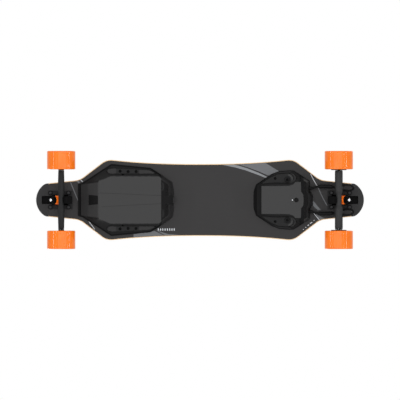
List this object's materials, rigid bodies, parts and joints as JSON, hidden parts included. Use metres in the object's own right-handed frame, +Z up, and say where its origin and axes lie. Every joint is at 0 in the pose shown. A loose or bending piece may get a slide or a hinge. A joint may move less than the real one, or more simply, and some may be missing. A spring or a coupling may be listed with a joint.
{
  "type": "electric skateboard",
  "caption": "Longboard with drop-through trucks, hub motors in the rear wheels, and battery and controller covers under the deck.",
  "frame": {"origin": "centre of the footprint, on the ground under the wheels", "axes": "+X to the nose (battery end), +Y to the rider's left, +Z up"},
  "size_m": [0.95, 0.2836, 0.1107],
  "materials": {
    "deck_laminate": "dark stained underside with a pale ply edge",
    "grip": "coarse grit",
    "guard_rubber": "fine ribbed rubber",
    "bushing_urethane": "satin urethane",
    "wheel_urethane": "smooth cast urethane",
    "gloss_black": "glossy moulded",
    "cover_plastic": "fine textured",
    "cable_rubber": "satin jacket",
    "lens": "clear white",
    "cell_wrap": "shrink wrap",
    "circuit": "lacquered board",
    "black_steel": "black oxide",
    "steel": "turned",
    "cast_metal": "dark powder coat on a casting"
  },
  "bodies": {
    "root": {"battery_cover": "cover_plastic", "battery_end_cap": "gloss_black", "battery_pack": "cell_wrap", "charge_socket": "steel", "controller_board": "circuit", "controller_cover": "cover_plastic", "controller_end_cap": "gloss_black", "deck": "deck_laminate", "front_backing_plate": "cast_metal", "front_baseplate": "cast_metal", "front_boardside_bushing": "bushing_urethane", "front_kingpin": "steel", "front_kingpin_nut": "black_steel", "front_pivot_cup": "guard_rubber", "front_roadside_bushing": "bushing_urethane", "front_truck_bolt_1": "black_steel", "front_truck_bolt_2": "black_steel", "front_truck_bolt_3": "black_steel", "front_truck_bolt_4": "black_steel", "grip_tape": "grip", "left_motor_cable": "cable_rubber", "nose_guard": "guard_rubber", "power_lead": "cable_rubber", "rear_backing_plate": "cast_metal", "rear_baseplate": "cast_metal", "rear_boardside_bushing": "bushing_urethane", "rear_kingpin": "steel", "rear_kingpin_nut": "black_steel", "rear_pivot_cup": "guard_rubber", "rear_roadside_bushing": "bushing_urethane", "rear_truck_bolt_1": "black_steel", "rear_truck_bolt_2": "black_steel", "rear_truck_bolt_3": "black_steel", "rear_truck_bolt_4": "black_steel", "right_motor_cable": "cable_rubber", "status_light_lens": "lens", "tail_guard": "guard_rubber"},
    "front_hanger_body": {"front_hanger": "cast_metal", "front_axle": "steel"},
    "rear_hanger_body": {"rear_hanger": "cast_metal", "rear_axle": "steel", "rear_left_stator": "black_steel", "rear_right_stator": "black_steel"},
    "front_left_wheel": {"front_left_tyre": "wheel_urethane", "front_left_core": "gloss_black", "front_left_bearing_set": "steel", "front_left_axle_nut": "black_steel"},
    "rear_left_wheel": {"rear_left_tyre": "wheel_urethane", "rear_left_motor_can": "gloss_black", "rear_left_axle_nut": "black_steel"},
    "front_right_wheel": {"front_right_tyre": "wheel_urethane", "front_right_core": "gloss_black", "front_right_bearing_set": "steel", "front_right_axle_nut": "black_steel"},
    "rear_right_wheel": {"rear_right_tyre": "wheel_urethane", "rear_right_motor_can": "gloss_black", "rear_right_axle_nut": "black_steel"},
    "power_button_body": {"power_button": "gloss_black"},
    "battery_release_body": {"battery_release": "gloss_black"},
    "charge_cap_body": {"charge_cap": "guard_rubber"}
  },
  "joints": [
    {"name": "front_steering", "type": "hinge", "parent": "root", "child": "front_hanger_body", "pos_m": [0.407, 0, 0.0645], "axis": [0.6428, 0, 0.766], "range_deg": [-15, 15], "stiffness_Nm_per_rad": 35, "deforming": ["front_boardside_bushing", "front_roadside_bushing"]},
    {"name": "rear_steering", "type": "hinge", "parent": "root", "child": "rear_hanger_body", "pos_m": [-0.407, 0, 0.0645], "axis": [-0.6428, 0, 0.766], "range_deg": [-15, 15], "stiffness_Nm_per_rad": 35, "deforming": ["rear_boardside_bushing", "rear_roadside_bushing", "left_motor_cable", "right_motor_cable"]},
    {"name": "front_left_wheel_spin", "type": "hinge", "parent": "front_hanger_body", "child": "front_left_wheel", "pos_m": [0.401, 0.115, 0.041], "axis": [0, 1, 0], "continuous": true},
    {"name": "front_right_wheel_spin", "type": "hinge", "parent": "front_hanger_body", "child": "front_right_wheel", "pos_m": [0.401, -0.115, 0.041], "axis": [0, 1, 0], "continuous": true},
    {"name": "rear_left_wheel_spin", "type": "hinge", "parent": "rear_hanger_body", "child": "rear_left_wheel", "pos_m": [-0.401, 0.115, 0.041], "axis": [0, 1, 0], "continuous": true},
    {"name": "rear_right_wheel_spin", "type": "hinge", "parent": "rear_hanger_body", "child": "rear_right_wheel", "pos_m": [-0.401, -0.115, 0.041], "axis": [0, 1, 0], "continuous": true},
    {"name": "power_button_press", "type": "slide", "parent": "root", "child": "power_button_body", "axis": [0, 0, 1], "range_m": [0, 0.001], "stiffness_N_per_m": 600},
    {"name": "battery_release_press", "type": "slide", "parent": "root", "child": "battery_release_body", "axis": [0, 0, 1], "range_m": [0, 0.0015], "stiffness_N_per_m": 800},
    {"name": "charge_cap_hinge", "type": "hinge", "parent": "root", "child": "charge_cap_body", "pos_m": [0.078, 0, 0.082], "axis": [0, 1, 0], "range_deg": [0, 95]}
  ]
}
